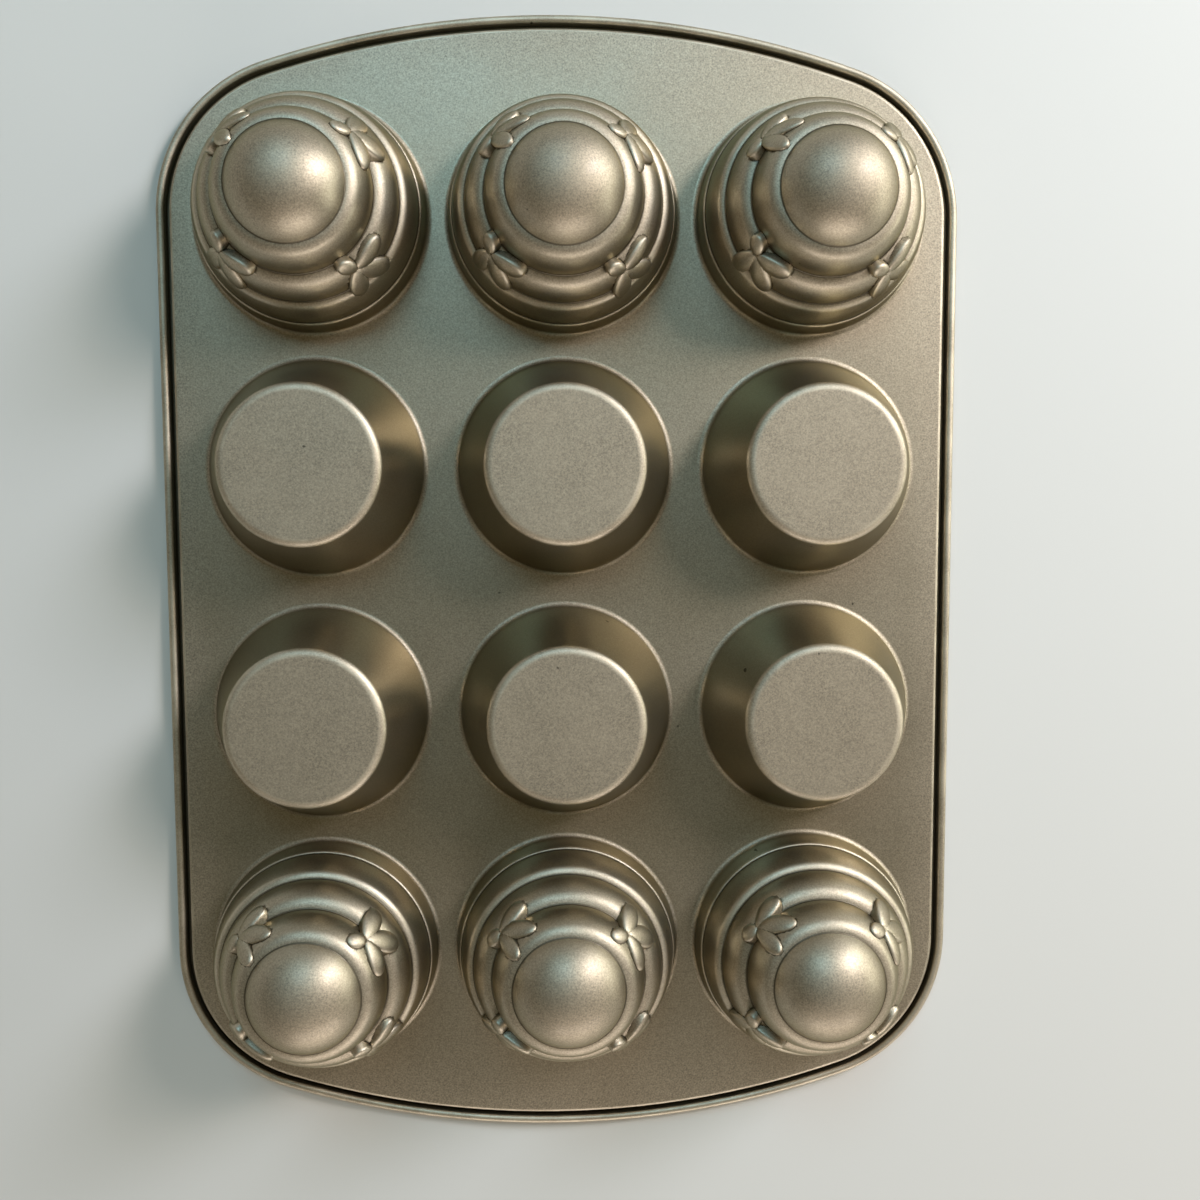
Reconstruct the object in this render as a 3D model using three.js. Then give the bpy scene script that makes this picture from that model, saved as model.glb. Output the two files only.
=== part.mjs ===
// Twelve-cup novelty cake pan: a rolled-rim plate that carries six beehive cups and six plain cups.
// Millimetres, +Z up. The pan lies mouth down on its rim, as it is turned out and put away.
// The origin is on the table under the middle of the pan, +Y runs along the pan's length.
import * as THREE from 'three';
import { mergeVertices } from 'three/addons/utils/BufferGeometryUtils.js';

// Sheet and fits
const PLATE_SHEET = 0.6;
const CUP_SHEET = 0.6;
const FIT_CLEARANCE = 0.3;

// Cup grid: hive cups fill the first and last rows, plain cups the rows between
const COLUMNS = 3;
const ROWS = 4;
const FLANGE_WIDTH = 1.6;
const FLANGE_SPACING = 3.6;
const HOLE_LIP = 0.9;

// Plain cup, sizes of the outer surface
const PLAIN_MOUTH_RADIUS = 34.2;
const PLAIN_BASE_RADIUS = 24;
const PLAIN_DEPTH = 32;
const PLAIN_BASE_FILLET = 2.2;

// Hive cup, sizes of the outer surface: each tier rises and steps in from the one below
const HIVE_MOUTH_RADIUS = 36.1;
const FOOT_RISE = 9;
const FOOT_INSET = 1.7;
const LOWER_COIL_RISE = 11.6;
const LOWER_COIL_INSET = 4.6;
const MIDDLE_COIL_RISE = 9.9;
const MIDDLE_COIL_INSET = 6.3;
const UPPER_COIL_RISE = 11.2;
const UPPER_COIL_INSET = 6.4;
const CROWN_RISE = 10.8;

// Plate outline: straight sides, bowed ends and wide corners
const SIDE_MARGIN = 5.9;
const END_MARGIN = 20;
const END_RADIUS = 298;
const CORNER_RADIUS = 50;

// Rim section: a bend, a wall, a trough and a bead rolled round a wire
const RIM_BEND_RADIUS = 0.6;
const RIM_TROUGH_RADIUS = 0.9;
const RIM_LEG = 1.7;
const BEAD_RECESS = 0.7;
const WIRE_RADIUS = 0.4;

// Facets
const CUP_SEGMENTS = 20;
const COIL_STEPS = 3;
const FOOT_STEPS = 2;
const CROWN_STEPS = 3;
const FILLET_STEPS = 2;
const CORNER_STEPS = 6;
const END_STEPS = 8;
const BEND_STEPS = 2;
const TROUGH_STEPS = 3;
const BEAD_STEPS = 6;
const WIRE_STEPS = 6;
const MERGE_TOLERANCE = 1e-3;

// Sizes that follow from the ones above
const HIVE_FLANGE_RADIUS = HIVE_MOUTH_RADIUS + FLANGE_WIDTH;
const PLAIN_FLANGE_RADIUS = PLAIN_MOUTH_RADIUS + FLANGE_WIDTH;
const WIDEST_FLANGE_RADIUS = Math.max(HIVE_FLANGE_RADIUS, PLAIN_FLANGE_RADIUS);
const CUP_PITCH = 2 * WIDEST_FLANGE_RADIUS + FLANGE_SPACING;
const BEND_OUTER_RADIUS = RIM_BEND_RADIUS + PLATE_SHEET;
const TROUGH_OUTER_RADIUS = RIM_TROUGH_RADIUS + PLATE_SHEET;
const BEAD_INNER_RADIUS = WIRE_RADIUS + FIT_CLEARANCE;
const BEAD_OUTER_RADIUS = BEAD_INNER_RADIUS + PLATE_SHEET;
const RIM_WIDTH = BEND_OUTER_RADIUS + 2 * RIM_TROUGH_RADIUS + 2 * BEAD_OUTER_RADIUS;
const TROUGH_CENTRE_OUT = BEND_OUTER_RADIUS + RIM_TROUGH_RADIUS;
const BEAD_CENTRE_OUT = RIM_WIDTH - BEAD_OUTER_RADIUS;
const BEAD_CENTRE_Z = -BEAD_RECESS - BEAD_OUTER_RADIUS;
const TROUGH_CENTRE_Z = BEAD_CENTRE_Z - RIM_LEG;
const EDGE_REACH = WIDEST_FLANGE_RADIUS + RIM_WIDTH;
const HALF_WIDTH = CUP_PITCH * (COLUMNS - 1) / 2 + SIDE_MARGIN + EDGE_REACH;
const HALF_LENGTH = CUP_PITCH * (ROWS - 1) / 2 + END_MARGIN + EDGE_REACH;

// Finishes
const COAT = { color: 0x8f8370, metalness: 0.85, roughness: 0.42 };
const STEEL = { color: 0x9a9a98, metalness: 1, roughness: 0.35 };

function point(x, y) {
  return new THREE.Vector2(x, y);
}

// Points along an arc, both ends included; angles in radians, clockwise where the end is the lower one
function arc(centreX, centreY, radius, from, to, steps) {
  return new THREE.ArcCurve(centreX, centreY, radius, from, to, to < from).getPoints(steps);
}

// Triangles collected band by band and cap by cap, then welded into one closed skin
class Skin {
  constructor() {
    this.corners = [];
  }

  triangle(a, b, c) {
    this.corners.push(...a, ...b, ...c);
  }

  // The strip between two closed loops of equal count
  band(lower, upper) {
    lower.forEach((corner, index) => {
      const next = (index + 1) % lower.length;
      this.triangle(corner, lower[next], upper[next]);
      this.triangle(corner, upper[next], upper[index]);
    });
  }

  // The flat face inside a contour and round its holes, at one height
  cap(contour, holes, z, faceUp) {
    const corners = [contour, ...holes].flat();
    THREE.ShapeUtils.triangulateShape(contour, holes).forEach((face) => {
      const [a, b, c] = face.map((index) => [corners[index].x, corners[index].y, z]);
      if (faceUp) this.triangle(a, b, c);
      else this.triangle(a, c, b);
    });
  }

  geometry() {
    const loose = new THREE.BufferGeometry();
    loose.setAttribute('position', new THREE.Float32BufferAttribute(this.corners, 3));
    const welded = mergeVertices(loose, MERGE_TOLERANCE);
    welded.computeVertexNormals();
    return welded;
  }
}

// The pan's outline, counter-clockwise, moved inwards from the outer edge
function outline(inset) {
  const corner = CORNER_RADIUS - inset;
  const end = END_RADIUS - inset;
  const cornerX = HALF_WIDTH - CORNER_RADIUS;
  const endCentre = HALF_LENGTH - END_RADIUS;
  const cornerY = endCentre + Math.sqrt((END_RADIUS - CORNER_RADIUS) ** 2 - cornerX ** 2);
  const turn = Math.PI / 2 - Math.asin(cornerX / (END_RADIUS - CORNER_RADIUS));
  const halfTurn = Math.PI;
  return [
    ...arc(cornerX, cornerY, corner, 0, turn, CORNER_STEPS).slice(0, -1),
    ...arc(0, endCentre, end, turn, halfTurn - turn, END_STEPS).slice(0, -1),
    ...arc(-cornerX, cornerY, corner, halfTurn - turn, halfTurn, CORNER_STEPS),
    ...arc(-cornerX, -cornerY, corner, halfTurn, halfTurn + turn, CORNER_STEPS).slice(0, -1),
    ...arc(0, -endCentre, end, halfTurn + turn, 2 * halfTurn - turn, END_STEPS).slice(0, -1),
    ...arc(cornerX, -cornerY, corner, 2 * halfTurn - turn, 2 * halfTurn, CORNER_STEPS),
  ];
}

// The outline at a rim section point, as a loop in space
function rimLoop(section) {
  return outline(RIM_WIDTH - section.x).map((corner) => [corner.x, corner.y, section.y]);
}

// Rim section from the plate's outer face round to its inner face: x runs outwards, y is height
function rimSection() {
  const right = Math.PI / 2;
  const wrapEnd = -Math.PI + Math.acos((BEAD_INNER_RADIUS - FIT_CLEARANCE) / BEAD_OUTER_RADIUS);
  const bend = (radius, from, to) => arc(0, -BEND_OUTER_RADIUS, radius, from, to, BEND_STEPS);
  const trough = (radius, from, to) => {
    return arc(TROUGH_CENTRE_OUT, TROUGH_CENTRE_Z, radius, from, to, TROUGH_STEPS);
  };
  const bead = (radius, from, to) => arc(BEAD_CENTRE_OUT, BEAD_CENTRE_Z, radius, from, to, BEAD_STEPS);
  return [
    ...bend(BEND_OUTER_RADIUS, right, 0),
    ...trough(RIM_TROUGH_RADIUS, Math.PI, 2 * Math.PI),
    ...bead(BEAD_OUTER_RADIUS, Math.PI, wrapEnd),
    ...bead(BEAD_INNER_RADIUS, wrapEnd, Math.PI),
    ...trough(TROUGH_OUTER_RADIUS, 2 * Math.PI, Math.PI),
    ...bend(RIM_BEND_RADIUS, 0, right),
  ];
}

// A round loop in the plane of the plate
function ring(centre, radius) {
  return Array.from({ length: CUP_SEGMENTS }, (_, index) => {
    const angle = 2 * Math.PI * index / CUP_SEGMENTS;
    return point(centre.x + radius * Math.cos(angle), centre.y + radius * Math.sin(angle));
  });
}

function atHeight(loop, z) {
  return loop.map((corner) => [corner.x, corner.y, z]);
}

// The plate with its turned-up hole lips and rolled rim, its outer face at height 0
function framePlate(cups) {
  const skin = new Skin();
  const section = rimSection();
  const loops = section.map(rimLoop);
  loops.slice(1).forEach((loop, index) => skin.band(loop, loops[index]));
  const holeRadius = (cup) => cup.mouthRadius + FIT_CLEARANCE;
  const holes = cups.map((cup) => ring(cup.centre, holeRadius(cup)));
  const lipFeet = cups.map((cup) => ring(cup.centre, holeRadius(cup) + HOLE_LIP));
  const bendLine = outline(RIM_WIDTH);
  skin.cap(bendLine, lipFeet.map((loop) => [...loop].reverse()), 0, true);
  skin.cap(bendLine, holes.map((loop) => [...loop].reverse()), -PLATE_SHEET, false);
  holes.forEach((hole, index) => {
    skin.band(atHeight(lipFeet[index], 0), atHeight(hole, HOLE_LIP));
    skin.band(atHeight(hole, HOLE_LIP), atHeight(hole, -PLATE_SHEET));
  });
  return skin.geometry();
}

// The stiffening wire that the bead is rolled round
function rimWire() {
  const skin = new Skin();
  const section = arc(BEAD_CENTRE_OUT, BEAD_CENTRE_Z, WIRE_RADIUS, 0, 2 * Math.PI, WIRE_STEPS);
  const loops = section.slice(0, -1).map(rimLoop);
  loops.forEach((loop, index) => skin.band(loop, loops[(index + 1) % loops.length]));
  return skin.geometry();
}

// A profile moved inwards by the sheet, with its corners mitred; the last point lies on the axis
function inwards(profile, sheet) {
  const normals = profile.slice(1).map((to, index) => {
    const along = to.clone().sub(profile[index]).normalize();
    return point(-along.y, along.x);
  });
  return profile.map((corner, index) => {
    const before = normals[Math.max(index - 1, 0)];
    const after = normals[Math.min(index, normals.length - 1)];
    if (index === profile.length - 1) return point(0, corner.y - sheet);
    const mitre = before.clone().add(after).normalize();
    return corner.clone().addScaledVector(mitre, sheet / mitre.dot(after));
  });
}

// A thin cup with a seating flange under the plate, from its outer profile, mouth first, crown last
function cupGeometry(outer, mouthRadius) {
  const seat = -PLATE_SHEET;
  const flangeFace = seat - CUP_SHEET;
  const wall = [point(mouthRadius, seat), ...outer];
  const lining = inwards(wall, CUP_SHEET);
  lining[0].y = flangeFace;
  const profile = [
    ...lining.reverse(),
    point(mouthRadius + FLANGE_WIDTH, flangeFace),
    point(mouthRadius + FLANGE_WIDTH, seat),
    ...wall,
  ];
  const lathe = new THREE.LatheGeometry(profile, CUP_SEGMENTS);
  lathe.rotateX(Math.PI / 2);
  lathe.deleteAttribute('normal');
  lathe.deleteAttribute('uv');
  const welded = mergeVertices(lathe, MERGE_TOLERANCE);
  welded.computeVertexNormals();
  return welded;
}

// Outer profile of the plain cup: a tapered wall, a fillet and a flat bottom
function plainProfile() {
  const mouth = point(PLAIN_MOUTH_RADIUS, 0);
  const taper = Math.atan2(PLAIN_MOUTH_RADIUS - PLAIN_BASE_RADIUS, PLAIN_DEPTH);
  const setback = PLAIN_BASE_FILLET * Math.tan((Math.PI / 2 - taper) / 2);
  const centre = point(PLAIN_BASE_RADIUS - setback, PLAIN_DEPTH - PLAIN_BASE_FILLET);
  const fillet = arc(centre.x, centre.y, PLAIN_BASE_FILLET, taper, Math.PI / 2, FILLET_STEPS);
  return [mouth, ...fillet, point(0, PLAIN_DEPTH)];
}

// One rounded tier: a quarter of an ellipse that leaves its foot upright and ends in a level ledge
function tier(foot, inset, rise, steps) {
  const shoulder = new THREE.EllipseCurve(foot.x - inset, foot.y, inset, rise, 0, Math.PI / 2);
  return shoulder.getPoints(steps).slice(1);
}

// The domed crown, a spherical cap over its foot
function crown(foot, rise, steps) {
  const radius = (foot.x ** 2 + rise ** 2) / (2 * rise);
  const centreZ = foot.y + rise - radius;
  const start = Math.atan2(foot.y - centreZ, foot.x);
  return [...arc(0, centreZ, radius, start, Math.PI / 2, steps).slice(1, -1), point(0, foot.y + rise)];
}

// Outer profile of the hive cup: a foot band, three coils and the crown
function hiveProfile() {
  const profile = [point(HIVE_MOUTH_RADIUS, 0)];
  const climb = (inset, rise, steps) => profile.push(...tier(profile.at(-1), inset, rise, steps));
  climb(FOOT_INSET, FOOT_RISE, FOOT_STEPS);
  climb(LOWER_COIL_INSET, LOWER_COIL_RISE, COIL_STEPS);
  climb(MIDDLE_COIL_INSET, MIDDLE_COIL_RISE, COIL_STEPS);
  climb(UPPER_COIL_INSET, UPPER_COIL_RISE, COIL_STEPS);
  profile.push(...crown(profile.at(-1), CROWN_RISE, CROWN_STEPS));
  return profile;
}

// Where each cup stands, row by row from the far end
function cupPlaces() {
  const places = [];
  const counts = { hive_cup: 0, plain_cup: 0 };
  for (let row = 0; row < ROWS; row += 1) {
    for (let column = 0; column < COLUMNS; column += 1) {
      const kind = row === 0 || row === ROWS - 1 ? 'hive_cup' : 'plain_cup';
      const x = (column - (COLUMNS - 1) / 2) * CUP_PITCH;
      const y = ((ROWS - 1) / 2 - row) * CUP_PITCH;
      const mouthRadius = kind === 'hive_cup' ? HIVE_MOUTH_RADIUS : PLAIN_MOUTH_RADIUS;
      counts[kind] += 1;
      places.push({ name: `${kind}_${counts[kind]}`, kind, mouthRadius, centre: point(x, y) });
    }
  }
  return places;
}

function addPiece(pan, name, geometry, finish, x = 0, y = 0) {
  const mesh = new THREE.Mesh(geometry, new THREE.MeshStandardMaterial(finish));
  mesh.name = name;
  mesh.position.set(x, y, 0);
  pan.add(mesh);
}

function noveltyCakePan() {
  const pan = new THREE.Group();
  const cups = cupPlaces();
  const profiles = { hive_cup: hiveProfile, plain_cup: plainProfile };
  addPiece(pan, 'frame_plate', framePlate(cups), COAT);
  addPiece(pan, 'rim_wire', rimWire(), STEEL);
  cups.forEach(({ name, kind, mouthRadius, centre }) => {
    addPiece(pan, name, cupGeometry(profiles[kind](), mouthRadius), COAT, centre.x, centre.y);
  });
  // The trough of the rim is the lowest part, and stands on the table
  pan.position.z = -Math.min(...rimSection().map((corner) => corner.y));
  return pan;
}

export default noveltyCakePan();
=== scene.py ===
"""Models a twelve-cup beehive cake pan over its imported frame, with its floor, lamps and camera."""
import math

import bmesh
import bpy
from bpy.props import FloatProperty, FloatVectorProperty, PointerProperty
from bpy.types import Operator, Panel, PropertyGroup
from mathutils import Matrix, Vector
from mathutils.geometry import intersect_sphere_sphere_2d


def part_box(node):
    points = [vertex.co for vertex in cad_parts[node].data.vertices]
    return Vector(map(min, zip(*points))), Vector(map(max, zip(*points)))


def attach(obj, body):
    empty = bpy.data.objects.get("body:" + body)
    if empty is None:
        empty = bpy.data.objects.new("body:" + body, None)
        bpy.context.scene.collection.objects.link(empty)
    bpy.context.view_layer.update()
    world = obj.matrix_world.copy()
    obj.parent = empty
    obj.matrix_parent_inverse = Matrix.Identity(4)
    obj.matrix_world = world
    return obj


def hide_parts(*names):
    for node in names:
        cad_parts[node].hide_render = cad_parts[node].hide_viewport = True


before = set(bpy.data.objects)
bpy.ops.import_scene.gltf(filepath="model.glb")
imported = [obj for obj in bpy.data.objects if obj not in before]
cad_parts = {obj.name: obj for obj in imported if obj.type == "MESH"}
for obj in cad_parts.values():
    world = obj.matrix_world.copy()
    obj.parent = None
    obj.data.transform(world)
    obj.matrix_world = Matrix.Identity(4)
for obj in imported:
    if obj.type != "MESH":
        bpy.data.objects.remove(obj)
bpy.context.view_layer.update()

bl_info = {
    "name": "Beehive cake pan",
    "version": (1, 0, 0),
    "blender": (4, 5, 0),
    "location": "3D View > Sidebar > Cake Pan",
    "description": "Models a twelve-cup beehive cake pan over its packed frame",
    "category": "Add Mesh",
}

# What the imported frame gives
PLATE_LOW, PLATE_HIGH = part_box("frame_plate")
HIVE_LOW, HIVE_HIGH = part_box("hive_cup_1")
PLAIN_LOW, PLAIN_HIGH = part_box("plain_cup_1")
HIVE_NODES = sorted(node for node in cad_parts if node.startswith("hive_cup"))
PLAIN_NODES = sorted(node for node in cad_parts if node.startswith("plain_cup"))

# The plate's face lies below the top of its node by the collars round the holes
COLLAR_HEIGHT = 0.0009
FACE = PLATE_HIGH.z - COLLAR_HEIGHT

# Fineness of the meshes
CUP_STEPS = 160
HOLE_STEPS = 96
CORNER_STEPS = 28
END_STEPS = 40
ARC_STEPS = 10
CROWN_STEPS = 30
FILLET_STEPS = 8
BEAD_STEPS = 24
WIRE_STEPS = 16
LOBE_SEGMENTS = 40
LOBE_RINGS = 22
SMOOTH_ANGLE = math.radians(35)

# Small distances: welded corners, the gap under a flare, the flats beside a bend, a profile's first ring
WELD = 0.000002
HAIRLINE = 0.00002
SUPPORT = 0.0004
SEED_RADIUS = 0.001

# A hole reaches out under its cup's flare, by one part in this many of the flare's radius
FLARE_PART = 3

# How a hive's tiers turn: share of the chord's lean at which the shoulder starts, and the ledge's lean
SHOULDER_START = 1.2
LEDGE_LEAN = math.radians(85)

# The bees on a hive: angle round it, height of the waist over the plate, heading of the body
BEES = (
    (math.radians(-50.5), 0.0283, math.radians(-52)),
    (math.radians(-141.8), 0.0290, math.radians(-45)),
    (math.radians(40.9), 0.0356, math.radians(-131)),
    (math.radians(143.5), 0.0323, math.radians(145)),
)

# The underside of a lobe is spread to straight sides, apart from this share of its radius round the pole
LOBE_POLE = 0.01

# A bee's lobes: how flat they are, how far they overlap at the waist, how much each part widens to its tip
LOBE_FLATNESS = 0.65
LOBE_OVERLAP = 0.0003
HEAD_SWELL = 0.1
BODY_SWELL = 0.12
WING_SWELL = 0.2

# The curve over a hive's coils that the bees are laid on: its centre beside the axis, and its radius
SKEP_CENTRE = (-0.055, -0.016)
SKEP_RADIUS = 0.094

# Folds in the skin: the tightest that counts, per millimetre, and the shortest edge it is measured on
FOLD_LIMIT = 2
FOLD_RUN = 0.00004
MM_PER_METRE = 1000

# Foot flares get no fold marks up to this height over the plate, so no painted crease shade and no painted
# highlight on edges
FLARE_REACH = 0.0022

# Above this share of its height, and where its skin is at least this level, a cup's top shows shelf wear
# and is painted lighter as painted light
SCUFF_AND_LIGHT_HEIGHT = 0.9
SCUFF_AND_LIGHT_LEVEL = 0.75

# How level the sheet is where drawing starts to smooth it, and where it has smoothed it in full
DRAWN_START = 0.9
DRAWN_FULL = 0.35

# Noise patterns of the finishes: scale per metre, detail and roughness
FLAKE = (1850, 3, 0.7)
CLOUD = (28, 3, 0.55)
PATCH = (75, 4, 0.6)
SPECK = (260, 1, 0.4)
STREAK = (900, 4, 0.6)

# How patterns and marks turn into amounts: low and high of the pattern, low and high of the amount
FLAKE_SHADE = (0.3, 0.7, 0, 1)
# Convex folds turn into painted highlight, with some edge wear
FOLD_RIDGE_HIGHLIGHT = (0.13, 0.42, 0, 1)
# Creases turn into painted shade, with some baked-on stain
FOLD_CREASE_SHADE = (-0.25, -1.1, 0, 0.88)
PATCH_RUBBED_AND_HIGHLIT = (0.4, 0.66, 0.2, 0.7)
# Worn cup tops turn lighter: painted light, with some shelf wear
PATCH_SCUFFED_AND_LIT = (0.35, 0.65, 0.1, 0.3)
SPECK_NICK = (0.815, 0.84, 0, 1)
DRAWN_TONE = (0, 1, 0, 0.6)
CLOUD_ROUGHNESS = (0.3, 0.7, 0.53, 0.6)
SCUFF_ROUGHNESS = (0, 1, 0, 0.1)
DRAWN_ROUGHNESS = (0, 1, 0, -0.19)
DRAWN_BUMP = (0, 1, 0.35, 0.12)
STREAK_ROUGHNESS = (0.3, 0.7, 0.25, 0.42)

# The flakes' height, and the clear gloss over the coat
FLAKE_HEIGHT = 0.0001
GLOSS_WEIGHT = 0.1
GLOSS_ROUGHNESS = 0.18

# The floor: its width, its roughness, and how far out it fades into the background
FLOOR_WIDTH = 12
FLOOR_ROUGHNESS = 0.9
FLOOR_FADE = (0.3, 0.9, 0, 1)

# How high over the floor the background shows in the gloss, from all of it to none
GLOSS_HEIGHT = (0.05, 0.3, 1, 0)

# The lamps: degrees round from +X and up from the floor, width and height, settings of power and colour
LAMP_DISTANCE = 1.3
LAMPS = {
    "key_lamp": ((36, 42), (0.24, 0.24), "key_power", "sun"),
    "fill_lamp": ((38, 30), (0.35, 0.35), "fill_power", "day"),
    "room_lamp": ((14, 9), (1.5, 0.25), "room_power", "room"),
    "table_lamp": ((-78, 20), (1.3, 0.45), "table_power", "table"),
    "window_lamp": ((100, 53), (0.6, 0.6), "window_power", "window"),
}

# The picture's camera, with its lens and sensor in millimetres
CAMERA_PLACE = (-0.006338, 0.027346, 0.39606)
CAMERA_FORWARD = (0.04547, -0.07886, -0.99585)
CAMERA_UP = (0.00727, 0.99688, -0.07861)
CAMERA_LENS = 36
CAMERA_SENSOR = 36
CAMERA_NEAREST = 0.01
CAMERA_FARTHEST = 30


def length(name, description, default):
    """A size of the pan, in metres."""
    return FloatProperty(name=name, description=description, default=default, unit="LENGTH", precision=5)


def colour(name, description, default):
    """A colour of a finish or lamp."""
    return FloatVectorProperty(
        name=name, description=description, default=default, subtype="COLOR", min=0, max=1
    )


def power(name, description, default):
    """The power of a lamp, in watts."""
    return FloatProperty(name=name, description=description, default=default, subtype="POWER", min=0)


class PlateSizes(PropertyGroup):
    """Sizes of the plate and its rolled rim."""

    sheet: length("Sheet", "Thickness of the plate's sheet", 0.0006)
    corner_radius: length("Corner radius", "Outer radius of the plate's corners", 0.05)
    end_radius: length("End radius", "Radius of the bowed short ends", 0.298)
    bend_radius: length("Bend radius", "Outer radius where the plate turns down into its rim", 0.0012)
    trough_radius: length("Trough radius", "Inner radius of the groove beside the bead", 0.0009)
    bead_radius: length("Bead radius", "Outer radius of the rolled bead", 0.0013)
    bead_recess: length("Bead recess", "How far the bead's top lies below the plate's face", 0.0007)
    wire_radius: length("Wire radius", "Radius of the wire inside the bead", 0.0004)


class HiveSizes(PropertyGroup):
    """Sizes of the beehive cups."""

    mouth_radius: length("Mouth radius", "Radius where the hive meets the plate", 0.0361)
    flange: length("Flange", "Width of the flange under the plate", 0.0016)
    sheet: length("Sheet", "Thickness of the cup's sheet", 0.0006)
    flare: length("Foot flare", "Radius of the fillet between plate and hive", 0.0017)
    groove: length("Groove radius", "Radius at the bottom of the grooves between coils", 0.0006)
    foot_rise: length("Foot rise", "Height of the plain foot band", 0.009)
    foot_inset: length("Foot inset", "How far the foot band draws in", 0.0017)
    lower_rise: length("Lower coil rise", "Height of the lower coil", 0.0116)
    lower_inset: length("Lower coil inset", "How far the lower coil draws in", 0.0046)
    middle_rise: length("Middle coil rise", "Height of the middle coil", 0.0099)
    middle_inset: length("Middle coil inset", "How far the middle coil draws in", 0.0063)
    upper_rise: length("Upper coil rise", "Height of the upper coil", 0.0112)
    upper_inset: length("Upper coil inset", "How far the upper coil draws in", 0.0064)


class BeeSizes(PropertyGroup):
    """Sizes of the bees embossed on each hive."""

    head_length: length("Head length", "Length of the head", 0.0064)
    head_width: length("Head width", "Width of the head", 0.0052)
    body_length: length("Body length", "Length of the body", 0.0132)
    body_width: length("Body width", "Width of the body", 0.0064)
    wing_length: length("Wing length", "Length of a wing", 0.0118)
    wing_width: length("Wing width", "Width of a wing", 0.0058)
    wing_spread: FloatProperty(
        name="Wing spread",
        description="Angle between a wing and the body",
        default=math.radians(56),
        subtype="ANGLE",
    )
    relief: length("Relief", "How far the bees stand over the coils", 0.0014)
    root: length("Root", "How far the bees reach into the hive's wall", 0.003)
    sink: length("Sink", "How far the bees' edges lie below the curve over the coils", 0.0003)


class PlainSizes(PropertyGroup):
    """Sizes of the plain tapered cups."""

    mouth_radius: length("Mouth radius", "Radius where the cup meets the plate", 0.0342)
    base_radius: length("Base radius", "Radius of the base where wall and flat would meet", 0.024)
    base_fillet: length("Base fillet", "Radius between wall and base", 0.0028)
    flange: length("Flange", "Width of the flange under the plate", 0.0016)
    sheet: length("Sheet", "Thickness of the cup's sheet", 0.0006)
    flare: length("Foot flare", "Radius of the fillet between plate and cup", 0.002)


class FinishLook(PropertyGroup):
    """Colours of the pan's finishes."""

    coat_light: colour("Coat, light", "Lightest flakes of the metallic coat", (0.51, 0.435, 0.327))
    coat_dark: colour("Coat, dark", "Darkest flakes of the metallic coat", (0.23, 0.193, 0.146))
    coat_drawn: colour("Coat, drawn", "Walls where the sheet was drawn smooth", (0.38, 0.338, 0.247))
    coat_edge: colour("Coat, edge", "Tint of the coat seen at a grazing angle", (0.42, 0.4, 0.28))
    # Painted highlight: convex edges and fillets made lighter, standing in for the light they catch, with
    # some edge wear
    coat_rubbed_and_highlit: colour("Coat, rubbed", "Ridges where the coat is rubbed bright", (0.65, 0.575, 0.455))
    # Painted light: level cup tops made lighter, as where more light reaches them, with some shelf wear
    coat_scuffed_and_lit: colour("Coat, scuffed", "Flats and crowns that stand on shelves", (0.52, 0.445, 0.34))
    # Painted shade: near black laid into the creases where shade falls, with some baked-on stain
    coat_stained_and_shaded: colour("Coat, stained", "Creases that baking has darkened", (0.09, 0.075, 0.05))
    coat_worn: colour("Coat, worn", "Specks where the coat is nicked", (0.12, 0.1, 0.075))
    steel: colour("Wire steel", "Drawn steel of the rim wire", (0.6, 0.6, 0.59))


class StageLook(PropertyGroup):
    """Floor and light of the picture."""

    floor: colour("Floor", "Colour of the floor", (0.64, 0.62, 0.585))
    backdrop: colour("Backdrop", "Colour of the pale background", (0.74, 0.735, 0.715))
    sky: colour("Surroundings", "Colour of the light from all round", (1.0, 0.87, 0.52))
    sun: colour("Sun", "Colour of the key lamp", (1.0, 0.91, 0.84))
    day: colour("Daylight", "Colour of the soft lamp beside the key", (0.82, 0.87, 1.0))
    room: colour("Room", "Colour of the low lamp at the right", (0.97, 1.0, 0.87))
    table: colour("Table", "Colour of the lamp at the bottom end", (1.0, 0.94, 0.91))
    window: colour("Window", "Colour of the lamp at the top end", (0.42, 0.79, 1.0))
    sky_strength: FloatProperty(
        name="Surroundings strength", description="Strength of the light from all round", default=0.16
    )
    key_power: power("Key power", "Power of the small lamp at the upper right", 6.6)
    fill_power: power("Fill power", "Power of the soft lamp beside the key", 10.6)
    room_power: power("Room power", "Power of the long low lamp at the right", 8)
    table_power: power("Table power", "Power of the wide lamp at the bottom end", 8)
    window_power: power("Window power", "Power of the high lamp at the top end", 6)


class CakePan(PropertyGroup):
    """All settings of the cake pan."""

    plate: PointerProperty(type=PlateSizes)
    hive: PointerProperty(type=HiveSizes)
    bee: PointerProperty(type=BeeSizes)
    plain: PointerProperty(type=PlainSizes)
    finish: PointerProperty(type=FinishLook)
    stage: PointerProperty(type=StageLook)


# Profiles, as points beside a cup's axis: distance from the axis, height


def arc(centre, radius, start, end, steps):
    """Points along an arc, both ends included."""
    turns = [start + (end - start) * step / steps for step in range(steps + 1)]
    return [(centre[0] + radius * math.cos(turn), centre[1] + radius * math.sin(turn)) for turn in turns]


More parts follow.
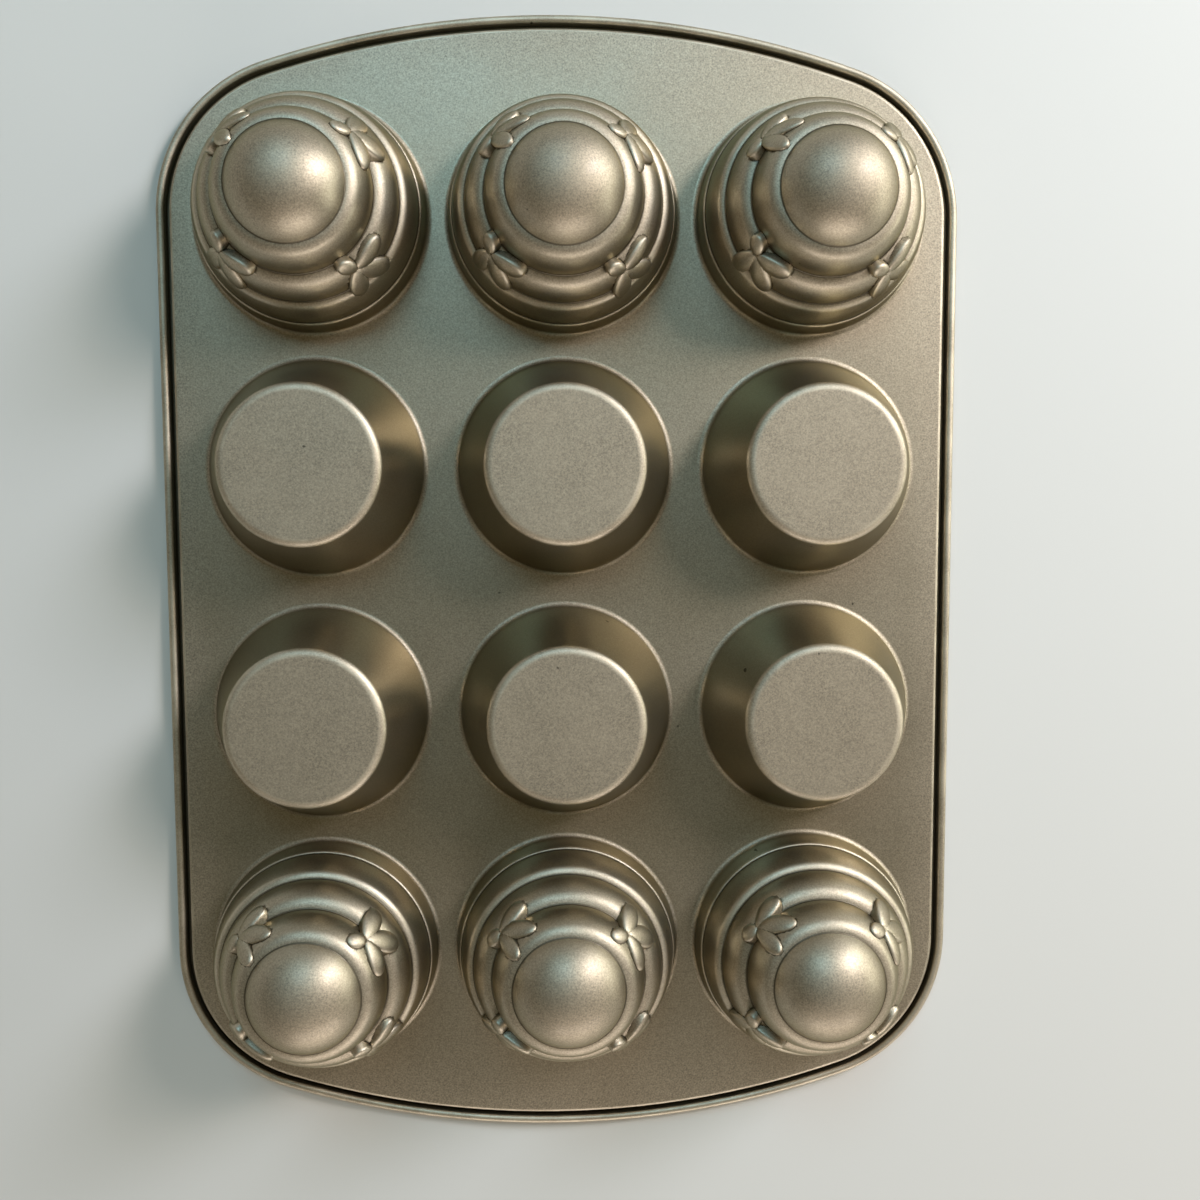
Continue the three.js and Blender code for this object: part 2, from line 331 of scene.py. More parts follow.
def tier(foot, inset, rise):
    """The two arcs of one tier: a wall upright at its foot, and a shoulder that turns to a ledge."""
    lean = SHOULDER_START * math.atan2(inset, rise)
    wall_in = 1 - math.cos(lean)
    wall_up = math.sin(lean)
    shoulder_in = math.cos(lean) - math.cos(LEDGE_LEAN)
    shoulder_up = math.sin(LEDGE_LEAN) - math.sin(lean)
    scale = wall_in * shoulder_up - shoulder_in * wall_up
    wall = (inset * shoulder_up - shoulder_in * rise) / scale
    shoulder = (wall_in * rise - wall_up * inset) / scale
    wall_centre = Vector((foot[0] - wall, foot[1]))
    shoulder_centre = wall_centre + (wall - shoulder) * Vector((math.cos(lean), math.sin(lean)))
    return [[wall_centre, wall, 0, lean], [shoulder_centre, shoulder, lean, LEDGE_LEAN]]


def crown(foot, rise):
    """The arc of the domed crown, from its foot to the axis."""
    radius = (foot[0] ** 2 + rise ** 2) / (2 * rise)
    centre = Vector((0, foot[1] + rise - radius))
    return [[centre, radius, math.atan2(foot[1] - centre.y, foot[0]), math.pi / 2]]


def round_groove(below, above, radius):
    """Trims two arcs at the groove between them and returns the small arc that joins them."""
    meetings = intersect_sphere_sphere_2d(below[0], below[1] + radius, above[0], above[1] + radius)
    centre = max(meetings, key=lambda point: point.y)
    from_below = centre - below[0]
    from_above = centre - above[0]
    below[3] = math.atan2(from_below.y, from_below.x)
    above[2] = math.atan2(from_above.y, from_above.x)
    return [centre, radius, below[3] + math.pi, above[2] + math.pi]


def hive_skin(hive):
    """The hive's outer profile, from the top of its foot flare to the crown on the axis."""
    rises = (hive.foot_rise, hive.lower_rise, hive.middle_rise, hive.upper_rise)
    insets = (hive.foot_inset, hive.lower_inset, hive.middle_inset, hive.upper_inset)
    foot = Vector((hive.mouth_radius, FACE))
    tiers = []
    for inset, rise in zip(insets, rises):
        tiers.append(tier(foot, inset, rise))
        foot = foot + Vector((-inset, rise))
    tiers.append(crown(foot, HIVE_HIGH.z - foot.y))
    grooves = [round_groove(low[-1], high[0], hive.groove) for low, high in zip(tiers, tiers[1:])]
    tiers[0][0][2] = math.asin(hive.flare / tiers[0][0][1])
    points = []
    for number, arcs in enumerate(tiers):
        steps = ARC_STEPS if number < len(grooves) else CROWN_STEPS
        for part in arcs:
            points += arc(*part, steps)[:-1]
        if number < len(grooves):
            points += arc(*grooves[number], FILLET_STEPS)[:-1]
    return points + [(0, HIVE_HIGH.z)]


def plain_skin(plain):
    """A plain cup's outer profile, from the top of its foot flare to the middle of its base."""
    top = PLAIN_HIGH.z
    lean = math.atan2(plain.mouth_radius - plain.base_radius, top - FACE)
    slope = Vector((-math.sin(lean), math.cos(lean)))
    mouth = Vector((plain.mouth_radius, FACE))
    wall_start = mouth + slope * plain.flare * math.tan((math.pi / 2 - lean) / 2)
    reach = plain.base_fillet * math.tan((math.pi / 2 - lean) / 2)
    base_edge = Vector((plain.base_radius, top))
    wall_end = base_edge - slope * reach
    fillet_centre = (plain.base_radius - reach, top - plain.base_fillet)
    points = [wall_start, wall_start + slope * SUPPORT, wall_end - slope * SUPPORT]
    points += arc(fillet_centre, plain.base_fillet, lean, math.pi / 2, FILLET_STEPS)
    points += [(fillet_centre[0] - SUPPORT, top), (0, top)]
    return [tuple(point) for point in points]


def foot_flare(skin, flare):
    """The fillet from the plate's face up to the first point of a cup's skin."""
    run = Vector(skin[1]) - Vector(skin[0])
    lean = math.atan2(-run.x, run.y)
    across = Vector((math.cos(lean), math.sin(lean)))
    centre = Vector(skin[0]) + across * flare
    centre.y = FACE + HAIRLINE + flare
    return arc(centre, flare, -math.pi / 2, -math.pi + lean, FILLET_STEPS)[:-1]


def seat(cup, low):
    """The part of a cup inside the plate: under the flare, down through the hole, and round the flange."""
    under = low + cup.sheet
    rim = cup.mouth_radius + cup.flange
    return [(rim, low), (rim, under), (cup.mouth_radius, under), (cup.mouth_radius, FACE + HAIRLINE)]


def lining(skin, cup):
    """The inner profile: a cup's skin set in by the sheet, from the mouth to the axis."""
    inner = []
    for before, point, after in zip(skin, skin[1:], skin[2:]):
        run = (Vector(after) - Vector(before)).normalized()
        inner.append((point[0] - run.y * cup.sheet, point[1] + run.x * cup.sheet))
    return [(cup.mouth_radius - cup.sheet, FACE)] + inner + [(0, skin[-1][1] - cup.sheet)]


# Modelling steps


def draw_profile(points, name):
    """Starts a mesh as one corner and draws it out, corner by corner, along a profile in the XZ plane."""
    bpy.ops.object.select_all(action="DESELECT")
    bpy.ops.mesh.primitive_circle_add(vertices=3, radius=SEED_RADIUS, location=(0, 0, 0))
    bpy.context.object.name = name
    bpy.ops.object.mode_set(mode="EDIT")
    bpy.ops.mesh.select_mode(type="VERT")
    bpy.ops.mesh.select_all(action="SELECT")
    bpy.ops.mesh.merge(type="CENTER")
    bpy.ops.transform.translate(value=(points[0][0], 0, points[0][1]))
    for before, after in zip(points, points[1:]):
        step = (after[0] - before[0], 0, after[1] - before[1])
        bpy.ops.mesh.extrude_region_move(TRANSFORM_OT_translate={"value": step})
    bpy.ops.mesh.select_all(action="SELECT")


def close_mesh():
    """Welds the mesh in hand, turns its faces outwards and leaves edit mode."""
    bpy.ops.mesh.select_all(action="SELECT")
    bpy.ops.mesh.remove_doubles(threshold=WELD)
    bpy.ops.mesh.normals_make_consistent(inside=False)
    bpy.ops.object.mode_set(mode="OBJECT")
    return bpy.context.object


def spin_profile(points, name):
    """Spins a profile once round the Z axis into a round body."""
    draw_profile(points, name)
    bpy.ops.mesh.spin(steps=CUP_STEPS, angle=2 * math.pi, center=(0, 0, 0), axis=(0, 0, 1))
    return close_mesh()


def only(piece):
    """Makes a piece the one selected and active object."""
    bpy.ops.object.select_all(action="DESELECT")
    piece.select_set(True)
    bpy.context.view_layer.objects.active = piece


def combine(piece, tool, operation):
    """Joins a tool to a piece or cuts it out, and removes the tool."""
    only(piece)
    bpy.ops.object.modifier_add(type="BOOLEAN")
    step = piece.modifiers[-1]
    step.operation = operation
    step.solver = "MANIFOLD"
    step.object = tool
    bpy.ops.object.modifier_apply(modifier=step.name)
    bpy.data.objects.remove(tool, do_unlink=True)


def mark_folds(piece):
    """Notes at each corner how tightly the skin folds: ridges above nought, creases below."""
    mesh = bmesh.new()
    mesh.from_mesh(piece.data)
    folds = []
    for corner in mesh.verts:
        fold = 0
        for edge in corner.link_edges:
            run = edge.other_vert(corner).co - corner.co
            if run.length > FOLD_RUN:
                bend = -2 * corner.normal.dot(run) / run.length ** 2 / MM_PER_METRE
                fold = bend if abs(bend) > abs(fold) else fold
        at_foot = -WELD < corner.co.z - FACE < FLARE_REACH
        folds.append(0 if at_foot else max(-FOLD_LIMIT, min(FOLD_LIMIT, fold)))
    mesh.free()
    piece.data.attributes.new("fold", "FLOAT", "POINT").data.foreach_set("value", folds)


def mark_wear(piece):
    """Notes at each corner how far drawing has smoothed the sheet, and how much a cup's level top is worn
    and painted lighter as painted light.
    """
    top = max(corner.co.z for corner in piece.data.vertices)
    drawn = []
    scuffs_and_light = []
    for corner in piece.data.vertices:
        level = abs(corner.normal.z)
        drawn.append(min(1, max(0, (DRAWN_START - level) / (DRAWN_START - DRAWN_FULL))))
        on_top = top > PLATE_HIGH.z and corner.co.z > SCUFF_AND_LIGHT_HEIGHT * top
        scuffs_and_light.append((max(0, level - SCUFF_AND_LIGHT_LEVEL) / (1 - SCUFF_AND_LIGHT_LEVEL)) ** 2 if on_top else 0)
    piece.data.attributes.new("drawn", "FLOAT", "POINT").data.foreach_set("value", drawn)
    piece.data.attributes.new("scuff", "FLOAT", "POINT").data.foreach_set("value", scuffs_and_light)


def finish_surface(piece, material):
    """Gives a piece its finish all over and shades it smoothly, with its folds left crisp."""
    mark_folds(piece)
    mark_wear(piece)
    piece.data.materials.clear()
    piece.data.materials.append(material)
    for face in piece.data.polygons:
        face.material_index = 0
    only(piece)
    bpy.ops.object.shade_smooth_by_angle(angle=SMOOTH_ANGLE)


def hand_over(piece, name, node):
    """Names a finished piece and ties it to the frame."""
    piece.name = name
    piece.data.name = name
    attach(piece, "root")
    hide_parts(node)


def place_copies(model, nodes):
    """Sets a copy of a cup, modelled at the origin, in the place of each node."""
    for node in nodes:
        low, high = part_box(node)
        only(model)
        bpy.ops.object.duplicate()
        copy = bpy.context.object
        bpy.ops.transform.translate(value=((low.x + high.x) / 2, (low.y + high.y) / 2, 0))
        bpy.ops.object.transform_apply(location=True, rotation=True, scale=True)
        hand_over(copy, "coated_" + node, node)
    bpy.data.objects.remove(model, do_unlink=True)


# The plate and its rim


def rim_width(plate):
    """How far the rim reaches beyond the line where the plate bends down."""
    return plate.bend_radius + 2 * plate.trough_radius + 2 * plate.bead_radius


def bead_centre(plate):
    """Middle of the rolled bead, out from the bend line and up from the floor."""
    return rim_width(plate) - plate.bead_radius, FACE - plate.bead_recess - plate.bead_radius


def rim_section(plate):
    """Outer skin of the rim, out from the bend line: a flat strip, the bend, the trough and the bead."""
    bend = arc((0, FACE - plate.bend_radius), plate.bend_radius, math.pi / 2, 0, FILLET_STEPS)
    trough_centre = (plate.bend_radius + plate.trough_radius, plate.sheet + plate.trough_radius)
    trough = arc(trough_centre, plate.trough_radius, math.pi, 2 * math.pi, FILLET_STEPS)
    wrap_end = -math.pi + math.acos(plate.wire_radius / plate.bead_radius)
    bead = arc(bead_centre(plate), plate.bead_radius, math.pi, wrap_end, BEAD_STEPS)
    return [(-SUPPORT, FACE)] + bend + trough + bead


def sweep_round_rim(section, plate, name):
    """Carries a rim section once round the pan: along a side, round a corner, a bowed end and a corner."""
    half = (PLATE_HIGH - PLATE_LOW) / 2
    bend_line = half.x - rim_width(plate)
    corner_x = half.x - plate.corner_radius
    end_y = half.y - plate.end_radius
    corner_y = end_y + math.sqrt((plate.end_radius - plate.corner_radius) ** 2 - corner_x ** 2)
    turn = math.atan2(corner_y - end_y, corner_x)
    draw_profile([(bend_line + out, up) for out, up in section], name)
    bpy.ops.transform.translate(value=(0, -corner_y, 0))
    for side in (1, -1):
        bpy.ops.mesh.extrude_region_move(TRANSFORM_OT_translate={"value": (0, 2 * side * corner_y, 0)})
        stops = (
            ((side * corner_x, side * corner_y, 0), turn, CORNER_STEPS),
            ((0, side * end_y, 0), math.pi - 2 * turn, END_STEPS),
            ((-side * corner_x, side * corner_y, 0), turn, CORNER_STEPS),
        )
        for centre, angle, steps in stops:
            bpy.ops.mesh.spin(steps=steps, angle=-angle, center=centre, axis=(0, 0, 1))


def select_open_edges(piece):
    """Selects the bare edges on the plate's face: the rim's inner line and the holes."""
    bpy.ops.mesh.select_mode(type="EDGE")
    bpy.ops.mesh.select_all(action="DESELECT")
    mesh = bmesh.from_edit_mesh(piece.data)
    for edge in mesh.edges:
        level = all(abs(corner.co.z - FACE) < WELD for corner in edge.verts)
        edge.select_set(level and len(edge.link_faces) < 2)
    bmesh.update_edit_mesh(piece.data)


def add_plate(pan):
    """The plate with its twelve holes and its rolled rim, drawn as one skin and then thickened."""
    plate = pan.plate
    sweep_round_rim(rim_section(plate), plate, "coated_plate")
    piece = bpy.context.object
    bpy.ops.mesh.select_all(action="SELECT")
    bpy.ops.mesh.remove_doubles(threshold=WELD)
    for nodes, cup in ((HIVE_NODES, pan.hive), (PLAIN_NODES, pan.plain)):
        for node in nodes:
            low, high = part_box(node)
            bpy.ops.mesh.primitive_circle_add(
                vertices=HOLE_STEPS,
                radius=cup.mouth_radius + cup.flare / FLARE_PART,
                location=((low.x + high.x) / 2, (low.y + high.y) / 2, FACE),
            )
    select_open_edges(piece)
    bpy.ops.mesh.fill(use_beauty=True)
    close_mesh()
    only(piece)
    bpy.ops.object.modifier_add(type="SOLIDIFY")
    wall = piece.modifiers[-1]
    wall.thickness = plate.sheet
    wall.offset = -1
    wall.use_even_offset = True
    bpy.ops.object.modifier_apply(modifier=wall.name)
    finish_surface(piece, champagne_coat(pan.finish))
    hand_over(piece, "coated_plate", "frame_plate")


def add_rim_wire(pan):
    """The wire inside the bead."""
    plate = pan.plate
    section = arc(bead_centre(plate), plate.wire_radius, 0, 2 * math.pi, WIRE_STEPS)
    sweep_round_rim(section, plate, "drawn_rim_wire")
    piece = close_mesh()
    finish_surface(piece, drawn_steel(pan.finish))
    hand_over(piece, "drawn_rim_wire", "rim_wire")


# The cups


def lay_on_hive(around, up, rise, place):
    """A point laid on the curve over the coils: round and up from a bee's waist, and out from the curve."""
    angle, height = place[:2]
    waist = math.asin((height - SKEP_CENTRE[1]) / SKEP_RADIUS)
    climb = waist + up / SKEP_RADIUS
    waist_reach = SKEP_CENTRE[0] + SKEP_RADIUS * math.cos(waist)
    reach = SKEP_CENTRE[0] + (SKEP_RADIUS + rise) * math.cos(climb)
    turn = angle + around / ((waist_reach + reach) / 2)
    level = FACE + SKEP_CENTRE[1] + (SKEP_RADIUS + rise) * math.sin(climb)
    return Vector((reach * math.cos(turn), reach * math.sin(turn), level))


def add_lobe(place, swing, root_end, tip_end, width, swell, bee):
    """One lobe of a bee: a ball flattened to a petal with straight sides and wrapped round the hive."""
    bpy.ops.object.select_all(action="DESELECT")
    bpy.ops.mesh.primitive_uv_sphere_add(segments=LOBE_SEGMENTS, ring_count=LOBE_RINGS, radius=1)
    lobe = bpy.context.object
    heading = place[2] + swing
    along = Vector((math.cos(heading), math.sin(heading)))
    across = Vector((-along.y, along.x))
    for corner in lobe.data.vertices:
        x, y, z = corner.co
        spread = math.hypot(x, y)
        if z < 0 and spread > LOBE_POLE:
            x, y = x / spread, y / spread
        run = root_end + (tip_end - root_end) * (x + 1) / 2
        side = y * width / 2 * (1 + swell * x)
        flat = along * run + across * side
        rise = (bee.relief * z ** LOBE_FLATNESS if z > 0 else bee.root * z) - bee.sink
        corner.co = lay_on_hive(flat.x, flat.y, rise, place)
    return lobe


def add_bees(piece, bee):
    """Embosses the bees on a hive: on each a head, a body and two wings that meet at the waist."""
    for place in BEES:
        parts = (
            (math.pi, bee.head_length, bee.head_width, HEAD_SWELL),
            (0, bee.body_length, bee.body_width, BODY_SWELL),
            (bee.wing_spread, bee.wing_length, bee.wing_width, WING_SWELL),
            (-bee.wing_spread, bee.wing_length, bee.wing_width, WING_SWELL),
        )
        for swing, reach, width, swell in parts:
            lobe = add_lobe(place, swing, -LOBE_OVERLAP, reach, width, swell, bee)
            combine(piece, lobe, "UNION")


def add_hive_cups(pan):
    """The beehive cups: a spun body with bees, hollowed by its lining, set in six places."""
    hive = pan.hive
    skin = hive_skin(hive)
    low = HIVE_LOW.z
    body = [(0, low)] + seat(hive, low) + foot_flare(skin, hive.flare) + skin
    model = spin_profile(body, "hive_model")
    add_bees(model, pan.bee)
    inner = lining(skin, hive)
    below = low - hive.sheet
    hollow = spin_profile([(0, below), (inner[0][0], below)] + inner, "hive_hollow")
    combine(model, hollow, "DIFFERENCE")
    bpy.ops.object.mode_set(mode="EDIT")
    close_mesh()
    finish_surface(model, champagne_coat(pan.finish))
    place_copies(model, HIVE_NODES)


def add_plain_cups(pan):
    """The plain cups: one closed profile, outside and lining, spun and set in six places."""
    plain = pan.plain
    skin = plain_skin(plain)
    low = PLAIN_LOW.z
    inner = lining(skin, plain)
    wall = list(reversed(inner)) + [(inner[0][0], low)]
    body = wall + seat(plain, low) + foot_flare(skin, plain.flare) + skin
    model = spin_profile(body, "plain_model")
    finish_surface(model, champagne_coat(pan.finish))
    place_copies(model, PLAIN_NODES)


# Finishes


def plain_material(name):
    """A new material with its shader and output, and its nodes and links."""
    material = bpy.data.materials.new(name)
    material.use_nodes = True
    return material, material.node_tree.nodes, material.node_tree.links


def add_noise(nodes, links, place, scale, detail, roughness):
    """A noise pattern fixed to the piece, as a factor."""
    noise = nodes.new("ShaderNodeTexNoise")
    noise.inputs["Scale"].default_value = scale
    noise.inputs["Detail"].default_value = detail
    noise.inputs["Roughness"].default_value = roughness
    links.new(place.outputs["Object"], noise.inputs["Vector"])
    return noise.outputs["Fac"]


def add_range(nodes, links, source, low, high, new_low, new_high, smooth=False):
    """Stretches a pattern's values to a new range, with its ends eased if it is smooth."""
    stretch = nodes.new("ShaderNodeMapRange")
    stretch.interpolation_type = "SMOOTHSTEP" if smooth else "LINEAR"
    stretch.inputs["From Min"].default_value = low
    stretch.inputs["From Max"].default_value = high
    stretch.inputs["To Min"].default_value = new_low
    stretch.inputs["To Max"].default_value = new_high
    links.new(source, stretch.inputs["Value"])
    return stretch.outputs["Result"]


def add_math(nodes, links, operation, first, second):
    """Works out the sum, the product or the greater of two patterns."""
    result = nodes.new("ShaderNodeMath")
    result.operation = operation
    links.new(first, result.inputs[0])
    links.new(second, result.inputs[1])
    return result.outputs["Value"]


def add_mark(nodes, name):
    """Reads one of the marks noted at a piece's corners."""
    mark = nodes.new("ShaderNodeAttribute")
    mark.attribute_name = name
    return mark.outputs["Fac"]


def add_mix(nodes, links, factor, first, second):
    """Blends two colours, each a colour or a node's output."""
    mix = nodes.new("ShaderNodeMix")
    mix.data_type = "RGBA"
    links.new(factor, mix.inputs["Factor"])
    for socket, value in (("A", first), ("B", second)):
        target = next(item for item in mix.inputs if item.name == socket and item.type == "RGBA")
        if isinstance(value, bpy.types.NodeSocket):
            links.new(value, target)
        else:
            target.default_value = (*value, 1)
    return next(item for item in mix.outputs if item.type == "RGBA")


def coat_tone(nodes, links, finish, place, flake):
    """Colour of the coat: light and dark flakes, calmer on drawn walls, with nicks, shelf wear and painted
    light on cup tops, worn edges with painted highlight, and painted shade in the creases.
    """
    patch = add_noise(nodes, links, place, *PATCH)
    speck = add_noise(nodes, links, place, *SPECK)
    fold = add_mark(nodes, "fold")
    shade = add_range(nodes, links, flake, *FLAKE_SHADE)
    smoothed = add_range(nodes, links, add_mark(nodes, "drawn"), *DRAWN_TONE)
    # Painted light on level cup tops, in patches, with some shelf wear
    scuffing_and_light = add_range(nodes, links, patch, *PATCH_SCUFFED_AND_LIT)
    scuffed_and_lit = add_math(nodes, links, "MULTIPLY", add_mark(nodes, "scuff"), scuffing_and_light)
    # Painted highlight on convex edges, in patches, with some edge wear
    ridge_highlight = add_range(nodes, links, fold, *FOLD_RIDGE_HIGHLIGHT)
    rubbing_and_highlight = add_range(nodes, links, patch, *PATCH_RUBBED_AND_HIGHLIT)
    rubbed_and_highlit = add_math(nodes, links, "MULTIPLY", ridge_highlight, rubbing_and_highlight)
    # Painted shade in the creases, where shade falls, with some baked-on stain
    stained_and_shaded = add_range(nodes, links, fold, *FOLD_CREASE_SHADE)
    nicked = add_range(nodes, links, speck, *SPECK_NICK)
    tone = add_mix(nodes, links, shade, finish.coat_dark, finish.coat_light)
    tone = add_mix(nodes, links, smoothed, tone, finish.coat_drawn)
    tone = add_mix(nodes, links, scuffed_and_lit, tone, finish.coat_scuffed_and_lit)
    tone = add_mix(nodes, links, rubbed_and_highlit, tone, finish.coat_rubbed_and_highlit)
    tone = add_mix(nodes, links, stained_and_shaded, tone, finish.coat_stained_and_shaded)
    return add_mix(nodes, links, nicked, tone, finish.coat_worn)


def coat_roughness(nodes, links, place):
    """Roughness of the coat: a cloudy satin, duller on worn cup tops and smoother on drawn walls."""
    satin = add_range(nodes, links, add_noise(nodes, links, place, *CLOUD), *CLOUD_ROUGHNESS)
    matted = add_range(nodes, links, add_mark(nodes, "scuff"), *SCUFF_ROUGHNESS)
    smoothed = add_range(nodes, links, add_mark(nodes, "drawn"), *DRAWN_ROUGHNESS)
    return add_math(nodes, links, "ADD", satin, add_math(nodes, links, "ADD", matted, smoothed))


def coat_grain(nodes, links, flake):
    """Fine grain of the flakes, weaker on drawn walls."""
    bump = nodes.new("ShaderNodeBump")
    bump.inputs["Distance"].default_value = FLAKE_HEIGHT
    links.new(add_range(nodes, links, add_mark(nodes, "drawn"), *DRAWN_BUMP), bump.inputs["Strength"])
    links.new(flake, bump.inputs["Height"])
    return bump.outputs["Normal"]


def champagne_coat(finish):
    """The champagne-bronze coat of plate and cups, made once: metal flakes under a thin gloss."""
    done = bpy.data.materials.get("champagne_coat")
    if done:
        return done
    material, nodes, links = plain_material("champagne_coat")
    shader = nodes["Principled BSDF"]
    place = nodes.new("ShaderNodeTexCoord")
    flake = add_noise(nodes, links, place, *FLAKE)
    links.new(coat_tone(nodes, links, finish, place, flake), shader.inputs["Base Color"])
    links.new(coat_roughness(nodes, links, place), shader.inputs["Roughness"])
    links.new(coat_grain(nodes, links, flake), shader.inputs["Normal"])
    shader.inputs["Metallic"].default_value = 1
    shader.inputs["Specular Tint"].default_value = (*finish.coat_edge, 1)
    shader.inputs["Coat Weight"].default_value = GLOSS_WEIGHT
    shader.inputs["Coat Roughness"].default_value = GLOSS_ROUGHNESS
    return material


def drawn_steel(finish):
    """Bare drawn steel for the rim wire."""
    material, nodes, links = plain_material("drawn_steel")
    shader = nodes["Principled BSDF"]
    place = nodes.new("ShaderNodeTexCoord")
    streak = add_noise(nodes, links, place, *STREAK)
    shader.inputs["Base Color"].default_value = (*finish.steel, 1)
    shader.inputs["Metallic"].default_value = 1
    links.new(add_range(nodes, links, streak, *STREAK_ROUGHNESS), shader.inputs["Roughness"])
    return material


# The stage


def add_lamp(name, bearing, size, watts, tint):
    """A soft lamp that faces the middle of the pan, unseen by the camera."""
    bpy.ops.object.select_all(action="DESELECT")
    around, up = (math.radians(angle) for angle in bearing)
    aim = Vector((math.cos(up) * math.cos(around), math.cos(up) * math.sin(around), math.sin(up)))
    bpy.ops.object.light_add(type="AREA", location=aim * LAMP_DISTANCE)
    lamp = bpy.context.object
    lamp.name = name
    lamp.rotation_euler = aim.to_track_quat("Z", "Y").to_euler()
    lamp.data.shape = "RECTANGLE"
    lamp.data.size, lamp.data.size_y = size
    lamp.data.energy = watts
    lamp.data.color = tint
    lamp.visible_camera = False


def add_rays(nodes, links):
    """Which rays show the background: those seen straight or through glass, and those seen in gloss."""
    path = nodes.new("ShaderNodeLightPath")
    straight = path.outputs["Is Camera Ray"]
    glass = path.outputs["Is Transmission Ray"]
    return add_math(nodes, links, "MAXIMUM", straight, glass), path.outputs["Is Glossy Ray"]


def blend_shaders(nodes, links, factor, first, second, output):
    """Sends one shader to the output where the factor is nought, and the other where it is one."""
    blend = nodes.new("ShaderNodeMixShader")
    links.new(factor, blend.inputs["Fac"])
    links.new(first, blend.inputs[1])
    links.new(second, blend.inputs[2])
    links.new(blend.outputs["Shader"], output.inputs["Surface"])


def add_floor(look):
    """The pale floor, which fades into the background away from the pan."""
    bpy.ops.object.select_all(action="DESELECT")
    bpy.ops.mesh.primitive_plane_add(size=FLOOR_WIDTH, location=(0, 0, 0))
    floor = bpy.context.object
    floor.name = "floor"
    material, nodes, links = plain_material("floor_paint")
    shader = nodes["Principled BSDF"]
    shader.inputs["Base Color"].default_value = (*look.floor, 1)
    shader.inputs["Roughness"].default_value = FLOOR_ROUGHNESS
    far = nodes.new("ShaderNodeEmission")
    far.inputs["Color"].default_value = (*look.backdrop, 1)
    place = nodes.new("ShaderNodeTexCoord")
    reach = nodes.new("ShaderNodeVectorMath")
    reach.operation = "LENGTH"
    links.new(place.outputs["Object"], reach.inputs[0])
    fade = add_range(nodes, links, reach.outputs["Value"], *FLOOR_FADE, smooth=True)
    seen, glossy = add_rays(nodes, links)
    shown = add_math(nodes, links, "MULTIPLY", fade, add_math(nodes, links, "MAXIMUM", seen, glossy))
    output = nodes["Material Output"]
    blend_shaders(nodes, links, shown, shader.outputs["BSDF"], far.outputs["Emission"], output)
    floor.data.materials.append(material)


def add_surroundings(look):
    """The dim light from all round, with the pale background where it is seen or lies low in the gloss."""
    world = bpy.data.worlds.new("surroundings")
    world.use_nodes = True
    nodes = world.node_tree.nodes
    links = world.node_tree.links
    sky = nodes["Background"]
    sky.inputs["Color"].default_value = (*look.sky, 1)
    sky.inputs["Strength"].default_value = look.sky_strength
    far = nodes.new("ShaderNodeBackground")
    far.inputs["Color"].default_value = (*look.backdrop, 1)
    place = nodes.new("ShaderNodeTexCoord")
    split = nodes.new("ShaderNodeSeparateXYZ")
    links.new(place.outputs["Generated"], split.inputs["Vector"])
    low = add_range(nodes, links, split.outputs["Z"], *GLOSS_HEIGHT)
    seen, glossy = add_rays(nodes, links)
    shown = add_math(nodes, links, "MAXIMUM", seen, add_math(nodes, links, "MULTIPLY", glossy, low))
    output = nodes["World Output"]
    blend_shaders(nodes, links, shown, sky.outputs["Background"], far.outputs["Background"], output)
    bpy.context.scene.world = world


def add_camera():
    """The camera at the picture's place and angle."""
    bpy.ops.object.camera_add(location=CAMERA_PLACE)
    camera = bpy.context.object
    forward = Vector(CAMERA_FORWARD).normalized()
    right = forward.cross(Vector(CAMERA_UP)).normalized()
    up = right.cross(forward)
    camera.rotation_euler = Matrix((right, up, -forward)).transposed().to_euler()
    camera.data.lens = CAMERA_LENS
    camera.data.sensor_width = CAMERA_SENSOR
    camera.data.clip_start = CAMERA_NEAREST
    camera.data.clip_end = CAMERA_FARTHEST
    bpy.context.scene.camera = camera


def add_stage(pan):
    """The pale floor, the soft lamps, the light from all round and the camera."""
    look = pan.stage
    add_floor(look)
    for name, (bearing, size, watts, tint) in LAMPS.items():
        add_lamp(name, bearing, size, getattr(look, watts), getattr(look, tint))
    add_surroundings(look)
    add_camera()
    bpy.context.scene.view_settings.view_transform = "Standard"


# Operators and panel


class CAKEPAN_OT_plate(Operator):
    """Add the plate with its holes and rolled rim"""

    bl_idname = "cakepan.plate"
    bl_label = "Plate and rim"

    def execute(self, context):
        add_plate(context.scene.cake_pan)
        return {"FINISHED"}


class CAKEPAN_OT_rim_wire(Operator):
    """Add the wire inside the rolled rim"""

    bl_idname = "cakepan.rim_wire"
    bl_label = "Rim wire"

    def execute(self, context):
        add_rim_wire(context.scene.cake_pan)
        return {"FINISHED"}


